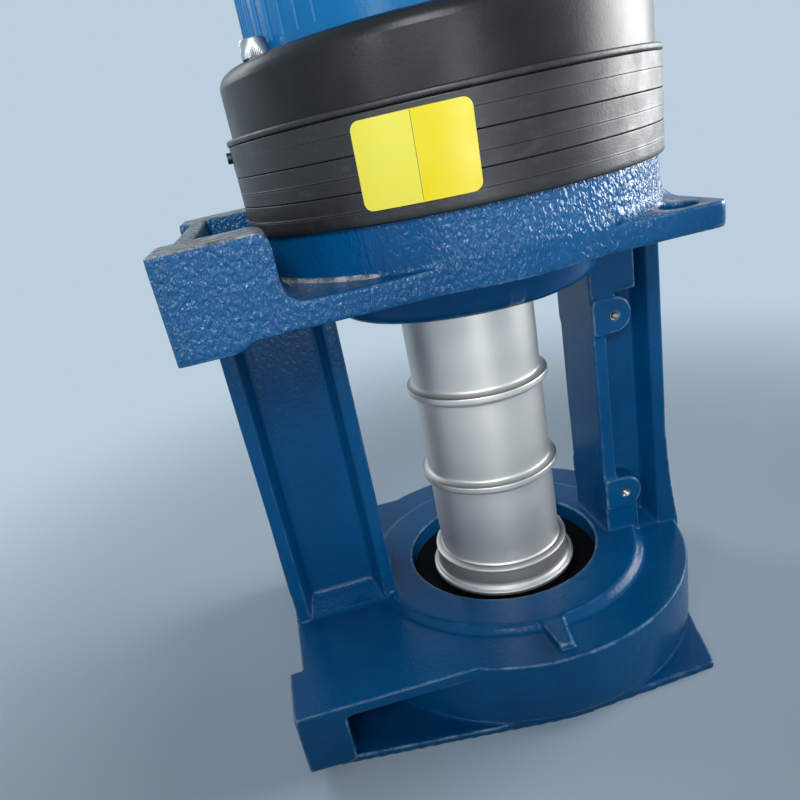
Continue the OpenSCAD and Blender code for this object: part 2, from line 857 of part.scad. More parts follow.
module dust_band() {
    step = band_h / band_turns;
    groove = 1.1;
    color("#222325") difference() {
        rotate_extrude() polygon(concat(
            [[band_in, band_z], [band_r - 1, band_z]],
            [for (i = [0 : band_turns - 1], p = [[0, 0.5], [0, step - 1.2], [-groove, step - 0.6]])
                [band_r + p[0], band_z + i * step + p[1]]],
            [[band_r - 1, band_z + band_h], [band_in, band_z + band_h]]
        ));
        band_screw_places(brake_r - 5) cylinder(d = band_screw_d + 1, h = 15);
    }
}

// Places of the band's screws: X of each frame points out along the radius
module band_screw_places(r) {
    for (a = band_screw_at) rotate([0, 0, a])
        translate([r, 0, band_screw_z]) rotate([0, 90, 0]) children();
}

module dust_band_screws() {
    low = flange_top_r - band_screw_deep + 1;
    color("#17181a") {
        band_screw_places(band_r + slip) cylinder(d = 7, h = 3);
        band_screw_places(low) cylinder(d = band_screw_d - 2 * slip, h = band_r + 1 - low);
    }
}

// ---------- motor ----------

module motor_housing() {
    color("#1273ad") difference() {
        union() {
            translate([0, 0, motor_z]) cylinder(r = motor_r, h = motor_len);
            translate([0, 0, motor_z]) cylinder(r = motor_r + 2, h = motor_rim_h);
            translate([0, 0, motor_top - motor_rim_h]) cylinder(r = motor_r + 2, h = motor_rim_h);
            // groups of axial ribs with plain stretches between them
            for (a = rib_groups, i = [-4 : 4]) rotate([0, 0, a + i * rib_pitch])
                translate([motor_r - 0.4, 0, motor_z + 2])
                    cylinder(r = rib_r, h = motor_len - 4, $fn = 24);
            // pad for the terminal box
            translate([box_pad_in, -box_w / 2 + 3, box_z + 3])
                cube([box_x - box_pad_in, box_w - 6, box_h - 6]);
        }
        translate([0, 0, motor_z - 1]) cylinder(r = motor_in, h = motor_len + 2);
        around(tie_bolts, tie_circle, tie_phase)
            translate([0, 0, motor_z - 1]) cylinder(d = tie_d, h = motor_len + 2);
        translate([box_pad_in, 0, box_z + box_h / 2])
            rotate([0, 90, 0]) cylinder(d = wire_hole, h = box_x);
        box_screw_places() rotate([0, 90, 0])
            translate([0, 0, -box_screw_len - 1]) cylinder(d = box_screw_d, h = box_screw_len + 2);
    }
}

module motor_tie_bolts() {
    color("#c4c6c8") around(tie_bolts, tie_circle, tie_phase) translate([0, 0, shield_top - tie_sink])
        socket_screw(tie_d - 2 * slip, shield_top - tie_sink - brake_top + tie_deep);
}

module slot_row(grow, z, h) {
    around(slots, core_in + 5)
        translate([0, -3.5 - grow, z]) cube([16 + grow, 7 + 2 * grow, h]);
}

module stator_core() {
    color("#5f6163") difference() {
        translate([0, 0, core_z]) tube(motor_in - slip, core_in, core_h);
        slot_row(0.2, core_z - 1, core_h + 2);
    }
}

module stator_windings() {
    color("#b5652a") {
        slot_row(0, core_z - 2, core_h + 4);
        for (z = [core_z - 2 - coil_end_h, core_z + core_h + 2]) translate([0, 0, z])
            rotate_extrude() {
                translate([core_in + 5, 0]) square([16, coil_end_h]);
                for (x = [core_in + 6, core_in + 20], y = [3, coil_end_h - 3])
                    translate([x, y]) circle(r = 3, $fn = 24);
                translate([core_in + 3, 3]) square([20, coil_end_h - 6]);
            }
    }
}

module rotor_spider() {
    outer = rotor_out - magnet_t;
    color("#6f7276") difference() {
        union() {
            translate([0, 0, rotor_z]) tube(outer, outer - yoke_t, rotor_h);
            translate([0, 0, rotor_z]) cylinder(r = rotor_seat_r + 8, h = rotor_h);
            for (z = [rotor_z + 10, rotor_z + rotor_h - 26]) translate([0, 0, z]) difference() {
                cylinder(r = outer - 1, h = 16);
                around(6, 48) translate([0, 0, -1]) cylinder(r = 6, h = 18);
            }
        }
        translate([0, 0, rotor_z - 1]) cylinder(r = rotor_seat_r, h = rotor_h + 2);
        translate([rotor_seat_r - 2, -key_w / 2, rotor_z - 1]) cube([6, key_w, rotor_h + 2]);
    }
}

module rotor_key() {
    color("#8a8d90") key_bar(rotor_seat_r, rotor_z + rotor_key_in, rotor_key_len, key_w);
}

module rotor_magnets() {
    outer = rotor_out - magnet_t;
    color("#3b3d40") for (i = [0 : poles - 1]) rotate([0, 0, i * 360 / poles])
        translate([0, 0, core_z]) sector(rotor_out, outer, 360 / poles - 3, core_h);
}

module rotor_nut() {
    color("#8a8d90") translate([0, 0, rotor_z + rotor_h]) difference() {
        cylinder(r = rotor_seat_r + 10, h = nut_t);
        translate([0, 0, -1]) cylinder(r = rotor_seat_r, h = nut_t + 2);
        around(4, rotor_seat_r + 10) translate([-4, -3, -1]) cube([8, 6, nut_t + 2]);
    }
}

module end_shield() {
    color("#1273ad") difference() {
        union() {
            translate([0, 0, motor_top]) cylinder(r = motor_r + 2, h = shield_top - motor_top - 4);
            translate([0, 0, motor_top]) cylinder(r = motor_r - 3, h = shield_top - motor_top);
            translate([0, 0, shield_z]) cylinder(r = motor_in - slip, h = motor_top - shield_z + 2);
        }
        translate([0, 0, rear_z]) cylinder(d = rear_od, h = rear_w + 2);
        translate([0, 0, shield_z - 1]) cylinder(r = rear_od / 2 - 4, h = shield_top - shield_z + 2);
        translate([0, 0, shield_z - 1]) tube(motor_in - 9, 52, motor_top - shield_z + 5);
        around(tie_bolts, tie_circle, tie_phase) {
            translate([0, 0, motor_top - 1]) cylinder(d = tie_d, h = shield_top - motor_top + 2);
            translate([0, 0, shield_top - tie_sink]) cylinder(d = 11, h = 10);
        }
        around(4, cover_screw_circle, 45)
            translate([0, 0, motor_top + 4]) cylinder(d = cover_screw_d, h = shield_top - motor_top);
        around(4, bracket_screw_circle)
            translate([0, 0, motor_top + 4]) cylinder(d = 4, h = shield_top - motor_top);
    }
}

module rear_outer_race() {
    color("silver") outer_race(rear_bore, rear_od, rear_w, rear_z);
}

module rear_inner_race() {
    color("silver") inner_race(rear_bore, rear_od, rear_w, rear_z);
}

module rear_balls() {
    color("silver") ball_ring(rear_bore, rear_od, rear_w, rear_z, 9);
}

module rear_cage() {
    color("#b08d3c") ball_cage(rear_bore, rear_od, rear_w, rear_z, 9);
}

module wave_spring() {
    color("#8a8d90") translate([0, 0, rear_z + rear_w]) tube(rear_od / 2 - 0.2, rear_od / 2 - 4, 1.6);
}

// ---------- encoder ----------

module encoder_body() {
    color("#2d3136") translate([0, 0, enc_z + 3]) difference() {
        cylinder(r = 29, h = enc_h - 5);
        translate([0, 0, -1]) cylinder(r = 13, h = enc_h + 2);
        translate([0, 0, 8]) tube(24, 12, 6);
    }
}

module encoder_rotor() {
    color("#b9bbbd") translate([0, 0, enc_z + 4]) {
        tube(11.5, 8, enc_h - 8);
        translate([0, 0, 8.5]) tube(22, 11, 3);
    }
}

module encoder_bracket() {
    color("#8a8d90") translate([0, 0, enc_z]) difference() {
        union() {
            cylinder(r = 32, h = 3);
            around(4, 0) translate([0, -6, 0]) cube([bracket_screw_circle + 5, 12, 3]);
        }
        translate([0, 0, -1]) cylinder(r = 14, h = 6);
        around(4, bracket_screw_circle) translate([0, 0, -1]) cylinder(d = 4.2, h = 6);
    }
}

module encoder_cover() {
    edge = 8;
    color("#1b1c1e") translate([0, 0, shield_top]) difference() {
        union() {
            difference() {
                union() {
                    cylinder(r = cap_r, h = cap_h - edge);
                    cylinder(r = cap_r - edge, h = cap_h);
                    translate([0, 0, cap_h - edge]) rotate_extrude()
                        translate([cap_r - edge, 0]) circle(r = edge);
                }
                translate([0, 0, -1]) cylinder(r = cap_r - 3, h = cap_h - edge + 1);
                translate([0, 0, -1]) cylinder(r = cap_r - edge - 2, h = cap_h - 2);
                // slot in the rim for the encoder's lead
                translate([cap_r - 10, -7, -1]) cube([20, 14, 15]);
            }
            // posts inside the shell that take the screws
            around(4, cover_screw_circle, 45) cylinder(r = 7, h = cap_h - 2);
        }
        around(4, cover_screw_circle, 45)
            translate([0, 0, -1]) cylinder(d = cover_screw_d + 0.2, h = cap_h + 2);
    }
}

module encoder_cover_screws() {
    color("#c4c6c8") translate([0, 0, shield_top + cap_h])
        around(4, cover_screw_circle, 45) socket_screw(cover_screw_d - 2 * slip, cap_h + 8);
}

// ---------- terminal box ----------

module box_screw_places() {
    for (y = [-1, 1], z = [-1, 1])
        translate([box_x + box_wall, y * (box_w / 2 - 14), box_z + box_h / 2 + z * (box_h / 2 - 14)])
            children();
}

module lid_screw_places(x) {
    for (y = [-1, 1], z = [-1, 1])
        translate([x, y * (box_w / 2 - lid_screw_in),
                   box_z + box_h / 2 + z * (box_h / 2 - lid_screw_in)])
            rotate([0, 90, 0]) children();
}

module terminal_box() {
    color("#1273ad") difference() {
        translate([box_x, -box_w / 2, box_z]) cube([box_d, box_w, box_h]);
        difference() {
            translate([box_x + box_wall, -box_w / 2 + box_wall, box_z + box_wall])
                cube([box_d, box_w - 2 * box_wall, box_h - 2 * box_wall]);
            lid_screw_places(box_x) cylinder(r = 6, h = box_d + 1);
        }
        lid_screw_places(box_x + box_d - lid_screw_len + lid_t)
            cylinder(d = lid_screw_d, h = lid_screw_len);
        translate([box_x - 1, 0, box_z + box_h / 2])
            rotate([0, 90, 0]) cylinder(d = wire_hole, h = box_wall + 2);
        box_screw_places() rotate([0, 90, 0])
            translate([0, 0, -box_wall - 1]) cylinder(d = box_screw_d, h = box_wall + 2);
        for (g = glands)
            translate([box_x + box_d / 2, box_w / 2 + 1, box_z + g[0]])
                rotate([90, 0, 0]) cylinder(d = g[1], h = box_wall + 2);
    }
}

module terminal_box_screws() {
    color("#c4c6c8") box_screw_places() rotate([0, 90, 0])
        socket_screw(box_screw_d - 2 * slip, box_screw_len);
}

module terminal_gasket() {
    color("#1a1a1a") translate([box_x + box_d, 0, box_z + box_h / 2]) rotate([0, 90, 0])
        difference() {
            translate([-box_h / 2, -box_w / 2, 0]) cube([box_h, box_w, gasket_t]);
            translate([-box_h / 2 + 12, -box_w / 2 + 12, -1]) cube([box_h - 24, box_w - 24, 5]);
            for (y = [-1, 1], z = [-1, 1])
                translate([z * (box_h / 2 - lid_screw_in), y * (box_w / 2 - lid_screw_in), -1])
                    cylinder(d = lid_screw_d, h = 5);
        }
}

module terminal_lid() {
    color("#1273ad") difference() {
        translate([box_x + box_d + gasket_t, -box_w / 2, box_z]) cube([lid_t, box_w, box_h]);
        lid_screw_places(box_x + box_d) cylinder(d = lid_screw_d, h = lid_screw_len);
    }
}

module terminal_lid_screws() {
    color("#c4c6c8") lid_screw_places(box_x + box_d + gasket_t + lid_t)
        socket_screw(lid_screw_d - 2 * slip, lid_screw_len);
}

module terminal_block() {
    color("#d8d4c8") translate([box_x + box_wall, -30, box_z + 66]) {
        difference() {
            cube([18, 60, 22]);
            for (i = [0 : 5]) translate([12, 2 + i * 9.6, 3]) cube([8, 7.6, 16]);
        }
        for (i = [0 : 5]) translate([10, 5.8 + i * 9.6, 11]) rotate([0, 90, 0]) cylinder(d = 5, h = 5);
    }
}

module cable_glands() {
    color("#202225") for (g = glands)
        translate([box_x + box_d / 2, box_w / 2, box_z + g[0]]) rotate([-90, 0, 0]) difference() {
            union() {
                translate([0, 0, -box_wall - 4]) cylinder(d = g[1] - 0.1, h = box_wall + 5);
                cylinder(d = g[1] * 1.4, h = 7, $fn = hex);
                cylinder(d = g[1] * 1.1, h = 14);
                translate([0, 0, 10]) cylinder(d = g[1] * 1.3, h = 12, $fn = hex);
                translate([0, 0, 22]) cylinder(d1 = g[1] * 1.1, d2 = g[1] * 0.9, h = 4);
            }
            translate([0, 0, -20]) cylinder(d = g[1] * 0.6, h = 60);
        }
}

machine_frame();
outboard_cover();
outboard_cover_bolts();
outboard_seal();
outboard_outer_race();
outboard_inner_race();
outboard_balls();
outboard_cage();
outboard_circlip();
main_outer_race();
main_inner_race();
main_balls();
main_cage();
bearing_keeper();
bearing_keeper_screws();
traction_shaft();
brake_hub();
hub_key();
friction_disc();
friction_linings();
armature_a();
armature_b();
brake_housing();
brake_coil_a();
brake_coil_b();
brake_springs_a();
brake_springs_b();
brake_guide_sleeves();
brake_bolts();
dust_band();
dust_band_screws();
motor_housing();
motor_tie_bolts();
stator_core();
stator_windings();
rotor_spider();
rotor_key();
rotor_magnets();
rotor_nut();
end_shield();
rear_outer_race();
rear_inner_race();
rear_balls();
rear_cage();
wave_spring();
encoder_body();
encoder_rotor();
encoder_bracket();
encoder_cover();
encoder_cover_screws();
terminal_box();
terminal_box_screws();
terminal_gasket();
terminal_lid();
terminal_lid_screws();
terminal_block();
cable_glands();
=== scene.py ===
import math

import bmesh
import bpy
import numpy as np
from mathutils import Matrix, Vector


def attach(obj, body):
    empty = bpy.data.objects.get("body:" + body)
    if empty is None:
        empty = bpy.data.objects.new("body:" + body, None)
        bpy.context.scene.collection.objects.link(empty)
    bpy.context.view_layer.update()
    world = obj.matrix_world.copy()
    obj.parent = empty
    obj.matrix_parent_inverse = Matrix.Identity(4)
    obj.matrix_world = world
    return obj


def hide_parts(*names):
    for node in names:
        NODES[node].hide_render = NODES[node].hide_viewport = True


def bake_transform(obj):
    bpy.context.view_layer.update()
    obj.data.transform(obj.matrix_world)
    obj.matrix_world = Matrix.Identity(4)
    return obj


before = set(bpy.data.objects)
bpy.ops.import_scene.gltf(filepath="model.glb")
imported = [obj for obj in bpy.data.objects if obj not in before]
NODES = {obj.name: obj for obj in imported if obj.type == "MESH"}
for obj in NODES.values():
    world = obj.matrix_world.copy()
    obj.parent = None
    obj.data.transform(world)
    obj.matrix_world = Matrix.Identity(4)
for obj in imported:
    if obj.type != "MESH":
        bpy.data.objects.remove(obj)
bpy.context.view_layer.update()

MM = 0.001

# The machine's own sizes, in millimetres and degrees, as part.scad has them.
AXIS_HEIGHT = 198        # from the foot's face to the shaft's axis
FOOT_HALF_W = 133
FOOT_PAD_W = 48
FOOT_HOLE_ZS = (36, 347.5)
FOOT_HOLE = (14, 28, 2.0)     # bore, depth and pitch
PLATE_TOP = 337          # upper face of the brake flange's plate
EAR_HOLE = (105, 113)    # x and y of the hole in each ear
PAD_X = 103              # tapped pads on the far column
PAD_FACE = 31.5
PAD_ZS = (101.5, 253.5)
PAD_HOLE = (6.8, 15, 1.25)
LANE_R = 50              # the traction shaft's belt lanes
RIDGE_ZS = (148.8, 222.8, 296.8)
RIDGE_PITCH = 74
COLLAR_TOP = 80
BAND_R = 142.5           # dust band
BAND_Z = 365.4
BAND_TOP = 425.4
BRAKE_R = 139
BRAKE_TOP = 463
BOLT_CIRCLE = 126        # brake bolts
BOLT_PHASE = 25
TIE_CIRCLE = 106         # the motor's tie bolts
TIE_PHASE = -5
TIE_SINK = 8             # from the end shield's face down to the tie bolts' seats
SHIELD_TOP = 706
CAP_CIRCLE = 62          # screws of the encoder's cap
CAP_PHASE = 45
CAP_H = 58

# The bare label on the band: its angles round the axis, its heights and the line across it.
LABEL_FROM, LABEL_TO = -123.5, -98.0
LABEL_Z = (373.0, 418.0)
LABEL_SPLIT = -110.5
LABEL_SPLIT_X = BAND_R * math.cos(math.radians(LABEL_SPLIT))

WORLD_LIGHT = 0.14


# ---------- meshes ----------

def add_object(name, data):
    obj = bpy.data.objects.new(name, data)
    bpy.context.scene.collection.objects.link(obj)
    return obj


def piece(name, verts, faces, material, body="frame", flat_angle=35):
    """A new object from points in millimetres, shaded smooth up to flat_angle degrees."""
    mesh = plain_mesh(name, verts, faces)
    bm = bmesh.new()
    bm.from_mesh(mesh)
    bmesh.ops.remove_doubles(bm, verts=bm.verts, dist=1e-6)
    bmesh.ops.recalc_face_normals(bm, faces=bm.faces)
    bm.to_mesh(mesh)
    bm.free()
    obj = add_object(name, mesh)
    mesh.materials.append(material)
    mesh.shade_smooth()
    mesh.set_sharp_from_angle(angle=math.radians(flat_angle))
    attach(obj, body)
    return obj


def plain_mesh(name, verts, faces):
    """A mesh from points in millimetres."""
    mesh = bpy.data.meshes.new(name)
    mesh.from_pydata([[c * MM for c in v] for v in verts], [], faces)
    return mesh


def copied_node(name, node, material):
    """A new object with a copy of a CAD node's mesh, in one material."""
    mesh = NODES[node].data.copy()
    mesh.materials.clear()
    mesh.materials.append(material)
    return add_object(name, mesh)


def turn_points(profile, a):
    """A profile of (radius, height) points at the angle a round Z."""
    return [(r * math.cos(a), r * math.sin(a), z) for r, z in profile]


def ring_faces(steps, count, closed=True):
    """Quads between each of steps profiles of count points and the next, all the way round."""
    faces = []
    for s in range(steps):
        t = (s + 1) % steps
        for i in range(count if closed else count - 1):
            j = (i + 1) % count
            faces.append((s * count + i, t * count + i, t * count + j, s * count + j))
    return faces


def revolve(profile, steps, closed=True):
    """Vertices and faces of a profile of (radius, height) points turned round Z."""
    verts = []
    for s in range(steps):
        verts += turn_points(profile, 2 * math.pi * s / steps)
    return verts, ring_faces(steps, len(profile), closed)


def merged(parts):
    """Several lists of vertices and faces as one."""
    verts, faces = [], []
    for v, f in parts:
        base = len(verts)
        verts += v
        faces += [tuple(i + base for i in face) for face in f]
    return verts, faces


def moved(part, matrix):
    """Vertices and faces with the vertices put through a matrix."""
    verts, faces = part
    return [tuple(matrix @ Vector(v)) for v in verts], faces


def lattice_noise(points, size, seed):
    """Smooth random values between -1 and 1 that vary over about size metres."""
    table = np.random.default_rng(seed).uniform(-1, 1, (64, 64, 64))
    p = points / size
    cell = np.floor(p).astype(int)
    f = p - cell
    f = f * f * (3 - 2 * f)
    total = np.zeros(len(points))
    for corner in np.ndindex(2, 2, 2):
        weight = np.ones(len(points))
        for axis in range(3):
            weight *= f[:, axis] if corner[axis] else 1 - f[:, axis]
        i, j, k = ((cell[:, a] + corner[a]) % 64 for a in range(3))
        total += weight * table[i, j, k]
    return total


def read_mesh(mesh):
    """The places and normals of a mesh's vertices, one row each."""
    count = len(mesh.vertices)
    co = np.empty(count * 3)
    normals = np.empty(count * 3)
    mesh.vertices.foreach_get("co", co)
    mesh.vertices.foreach_get("normal", normals)
    return co.reshape(-1, 3), normals.reshape(-1, 3)


def applied(obj):
    """Gives the object the mesh that its modifiers make."""
    view = bpy.context.evaluated_depsgraph_get()
    view.update()
    mesh = bpy.data.meshes.new_from_object(obj.evaluated_get(view))
    obj.modifiers.clear()
    obj.data = mesh


def cast_copy(name, node, material, voxel, rounds, ratio):
    """A copy of a CAD node with the rounded edges and filled corners of a casting."""
    obj = copied_node(name, node, material)
    weld = obj.modifiers.new("weld", "WELD")
    weld.merge_threshold = 1e-6
    remesh = obj.modifiers.new("remesh", "REMESH")
    remesh.mode = "VOXEL"
    remesh.voxel_size = voxel * MM
    remesh.use_smooth_shade = True
    smooth = obj.modifiers.new("smooth", "SMOOTH")
    smooth.factor = 0.5
    smooth.iterations = rounds
    thin = obj.modifiers.new("thin", "DECIMATE")
    thin.ratio = ratio
    applied(obj)
    obj.data.shade_smooth()
    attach(obj, "frame")
    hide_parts(node)
    return obj


def set_mask(mesh, name, values):
    """Stores a value from 0 to 1 per vertex, which a material reads by name."""
    layer = mesh.attributes.new(name, "FLOAT", "POINT")
    layer.data.foreach_set("value", np.clip(values, 0, 1).astype(np.float32))


def ramp_up(x, low, high):
    """0 at low, 1 at high and straight between them."""
    return np.clip((x - low) / (high - low), 0, 1)


# ---------- materials ----------

class Shade:
    """A node material, built from the surface's own coordinates."""

    def __init__(self, name):
        self.material = bpy.data.materials.new(name)
        self.material.use_nodes = True
        self.tree = self.material.node_tree
        self.bsdf = self.tree.nodes["Principled BSDF"]
        self.place = self.node("ShaderNodeTexCoord").outputs["Object"]

    def node(self, kind, inputs=None, **settings):
        n = self.tree.nodes.new(kind)
        for key, value in settings.items():
            setattr(n, key, value)
        for key, value in (inputs or {}).items():
            self.put(n.inputs[key], value)
        return n

    def put(self, socket, value):
        if isinstance(value, bpy.types.NodeSocket):
            self.tree.links.new(value, socket)
        else:
            socket.default_value = value

    def noise(self, scale, detail=3, rough=0.5, stretch=None, distortion=0):
        vector = self.place
        if stretch:
            vector = self.node("ShaderNodeMapping", {"Vector": vector, "Scale": stretch}).outputs[0]
        return self.node("ShaderNodeTexNoise", {
            "Vector": vector, "Scale": scale, "Detail": detail, "Roughness": rough,
            "Distortion": distortion}).outputs["Fac"]

    def layers(self, pitch, **inputs):
        """Even lines round the axis, pitch millimetres apart."""
        return self.node("ShaderNodeTexWave", {
            "Vector": self.place, "Scale": 1 / (pitch * MM) / 6.283, **inputs},
            wave_type="BANDS", bands_direction="Z").outputs["Fac"]

    def mask(self, name):
        return self.node("ShaderNodeAttribute", attribute_name=name).outputs["Fac"]

    def math(self, operation, a, b=0.0):
        return self.node("ShaderNodeMath", {0: a, 1: b}, operation=operation).outputs[0]

    def step(self, value, low, high, out_low=0.0, out_high=1.0):
        return self.node("ShaderNodeMapRange", {
            "Value": value, "From Min": low, "From Max": high,
            "To Min": out_low, "To Max": out_high}).outputs[0]

    def mix(self, factor, a, b):
        n = self.node("ShaderNodeMix", data_type="RGBA")
        self.put(n.inputs["Factor"], factor)
        for socket, value in ((n.inputs[6], a), (n.inputs[7], b)):
            self.put(socket, value if isinstance(value, bpy.types.NodeSocket) else (*value, 1))
        return n.outputs[2]

    def bump(self, height, distance, strength=1.0, under=None):
        inputs = {"Height": height, "Distance": distance, "Strength": strength}
        if under is not None:
            inputs["Normal"] = under
        return self.node("ShaderNodeBump", inputs).outputs[0]

    def surface(self, colour, rough, normal=None, metal=0.0, level=0.5):
        sockets = self.bsdf.inputs
        self.put(sockets["Base Color"], colour)
        self.put(sockets["Roughness"], rough)
        self.put(sockets["Metallic"], metal)
        sockets["Specular IOR Level"].default_value = level
        if normal is not None:
            self.put(sockets["Normal"], normal)
        return self.material

    def coat(self, weight, rough, normal):
        """A clear coat whose weight and normal may vary; its roughness is one number."""
        sockets = self.bsdf.inputs
        self.put(sockets["Coat Weight"], weight)
        self.put(sockets["Coat Normal"], normal)
        sockets["Coat Roughness"].default_value = rough


def srgb(r, g, b):
    """A colour written in 0 to 255 steps, as the linear values that a shader takes."""
    return tuple(((c / 255 + 0.055) / 1.055) ** 2.4 if c > 10 else c / 255 / 12.92
                 for c in (r, g, b))


def casting_paint():
    """Glossy blue paint over rough cast iron; masks say where it is roughest and where bare."""
    s = Shade("casting blue")
    rough_mask = s.mask("skin")
    bare = s.mask("bare")

    # paint: slow changes of tone, dust, a painted sheen that makes the rough skin paler, and thin
    # pale rims on sharp edges that are partly wear and partly painted highlight
    tone = s.noise(9, 4, 0.6)
    blue = s.mix(s.step(tone, 0.35, 0.65), srgb(0, 68, 116), srgb(3, 80, 131))
    dusty = s.step(s.noise(60, 4, 0.7), 0.6, 0.78, 0.0, 0.07)
    blue = s.mix(dusty, blue, srgb(80, 120, 150))
    # painted sheen: the rough skin is painted paler, in place of the broad sheen its lumps catch
    blue = s.mix(s.step(rough_mask, 0.4, 1.0, 0.0, 0.25), blue, srgb(58, 116, 168))
    # pale rims on sharp edges: partly wear, partly a painted highlight along the edges
    sharp = s.step(s.node("ShaderNodeNewGeometry").outputs["Pointiness"], 0.512, 0.535)
    rim_wear_and_highlight = s.math("MULTIPLY", sharp, s.step(s.noise(70, 4, 0.7), 0.42, 0.62, 0.05, 0.55))
    rim_wear_and_highlight = s.math("MULTIPLY", rim_wear_and_highlight, s.step(rough_mask, 0.2, 0.6, 1.0, 0.25))
    blue = s.mix(rim_wear_and_highlight, blue, srgb(140, 172, 196))

    # bare iron with a ragged edge to the paint
    iron = s.mix(s.step(s.noise(120, 5, 0.7), 0.4, 0.62), srgb(84, 88, 94), srgb(166, 170, 174))
    chips = s.step(s.noise(260, 4, 0.7), 0, 1, -0.3, 0.3)
    ragged = s.step(s.math("ADD", bare, chips), 0.45, 0.55)
    colour = s.mix(ragged, blue, iron)

    # the sand's lumps under the paint, and a finer grain on them
    lumps = s.noise(330, 1, 0.45, stretch=(1.25, 1.25, 0.8), distortion=0.5)
    cast = s.bump(lumps, 0.0030, s.math("ADD", s.math("MULTIPLY", rough_mask, 0.8), 0.035))
    normal = s.bump(s.noise(560, 1, 0.5), 0.0006, s.step(rough_mask, 0, 1, 0.06, 0.35), cast)
    gloss = s.math("ADD", s.step(s.noise(40, 3, 0.6), 0.3, 0.7, 0.18, 0.28),
                   s.math("MULTIPLY", ragged, 0.4))
    s.coat(s.step(rough_mask, 0.0, 1.0, 0.08, 0.45), 0.14, normal)
    return s.surface(colour, gloss, normal, level=0.16)


def motor_paint():
    """Smooth gloss paint with a slight orange peel."""
    s = Shade("motor blue")
    blue = s.mix(s.step(s.noise(12, 4, 0.6), 0.3, 0.7), srgb(12, 98, 150), srgb(16, 110, 168))
    peel = s.bump(s.noise(420, 2, 0.5), 0.0004, 0.25)
    return s.surface(blue, s.step(s.noise(30, 3), 0.3, 0.7, 0.20, 0.30), peel, level=0.25)


def black_paint():
    """Half-matt black paint with smudges."""
    s = Shade("black paint")
    smudge = s.step(s.noise(14, 5, 0.65), 0.45, 0.72)
    colour = s.mix(smudge, srgb(20, 21, 22), srgb(34, 35, 35))
    return s.surface(colour, s.step(s.noise(22, 4, 0.6), 0.3, 0.7, 0.28, 0.42),
                     s.bump(s.noise(500, 2), 0.0003, 0.2), level=0.3)


def rubber():
    """Moulded rubber with pale dust and fine upright scratches."""
    s = Shade("rubber black")
    dust = s.step(s.noise(45, 6, 0.72, stretch=(1, 1, 2.5)), 0.56, 0.74)
    colour = s.mix(dust, srgb(20, 20, 20), srgb(50, 51, 50))
    scratch = s.step(s.noise(30, 2, 0.5, stretch=(6, 6, 60)), 0.6, 0.8)
    normal = s.bump(s.noise(700, 3, 0.6), 0.0003, 0.35, s.bump(scratch, 0.0003, 0.15))
    return s.surface(colour, s.step(s.noise(70, 4, 0.6), 0.3, 0.7, 0.36, 0.52), normal,
                     level=0.6)


def plastic(name, low, high, rough=0.45, level=0.5):
    """Fine-grained plastic, felt or ink between two tones."""
    s = Shade(name)
    colour = s.mix(s.step(s.noise(25, 4, 0.6), 0.35, 0.7), srgb(*low), srgb(*high))
    return s.surface(colour, s.step(s.noise(60, 3), 0.3, 0.7, rough - 0.06, rough + 0.06),
                     s.bump(s.noise(1300, 1), 0.00015, 0.3), level=level)


def turned_metal(name, low, high, rough, metal=1.0, shade_and_grime=None):
    """Metal with the fine rings that turning leaves and a faint change of tone."""
    s = Shade(name)
    cloud = s.step(s.noise(9, 3, 0.5, stretch=(1, 1, 3)), 0.35, 0.65)
    colour = s.mix(cloud, srgb(*low), srgb(*high))
    # the mesh's mask darkens the colour: painted shade on the shaft's ridge flanks, and grime in
    # its collar's groove
    if shade_and_grime:
        colour = s.mix(s.mask("shade_and_grime"), colour, srgb(*shade_and_grime))
    rings = s.layers(0.45, Distortion=0.6, Detail=1)
    gloss = s.math("ADD", s.step(cloud, 0, 1, rough, rough + 0.03),
                   s.math("MULTIPLY", rings, 0.04))
    return s.surface(colour, gloss, s.bump(rings, 0.00003, 0.5), metal)


def brushed_metal(name, low, high, rough, metal=1.0):
    """Metal with a fine, even grain."""
    s = Shade(name)
    colour = s.mix(s.step(s.noise(50, 4, 0.6), 0.35, 0.68), srgb(*low), srgb(*high))
    grain = s.noise(300, 3, 0.6)
    return s.surface(colour, s.step(grain, 0.3, 0.7, rough - 0.06, rough + 0.08),
                     s.bump(grain, 0.0001, 0.25), metal)


def layered_metal(name, low, high, pitch, rough=0.5):
    """Stacked sheets or wound wire: fine dark lines along the height."""
    s = Shade(name)
    lines = s.layers(pitch, Distortion=0.2)
    tint = s.mix(s.noise(60, 3), srgb(*low), srgb(*high))
    colour = s.mix(s.step(lines, 0.1, 0.5, 0.6, 0.0), tint, (0.01, 0.01, 0.01))
    return s.surface(colour, rough, s.bump(lines, 0.0002, 0.6), metal=0.8)


def label_film():
    """Bare two-tone yellow film; the left part is paler."""
    s = Shade("label yellow")
    x = s.node("ShaderNodeSeparateXYZ", {0: s.place}).outputs["X"]
    left = s.step(x, LABEL_SPLIT_X * MM - 0.0002, LABEL_SPLIT_X * MM + 0.0002)
    colour = s.mix(left, srgb(228, 218, 72), srgb(231, 210, 0))
    colour = s.mix(s.step(s.noise(80, 4), 0.4, 0.75, 0, 0.12), colour, srgb(225, 215, 90))
    return s.surface(colour, s.step(s.noise(50, 3), 0.3, 0.7, 0.25, 0.4))


# ---------- camera, floor and light ----------

def set_camera():
    """A near, tilted view from the front, a little left of the axis and above the flange."""
    data = bpy.data.cameras.new("camera")
    data.lens = 30.855
    data.sensor_width = 36
    data.shift_x = 0.0378
    data.shift_y = 0.0412
    data.clip_start = 0.01
    obj = add_object("camera", data)
    right = (0.96449936, -0.17175995, -0.20059788)
    up = (0.2504585, 0.35408895, 0.90105025)
    back = (-0.08373485, -0.91930383, 0.3845373)
    place = (-0.13796, -0.50139, 0.40768)
    rows = [[right[i], up[i], back[i], place[i]] for i in range(3)]
    obj.matrix_world = Matrix(rows + [[0, 0, 0, 1]])
    bpy.context.scene.camera = obj


BACKDROP = srgb(188, 207, 222)


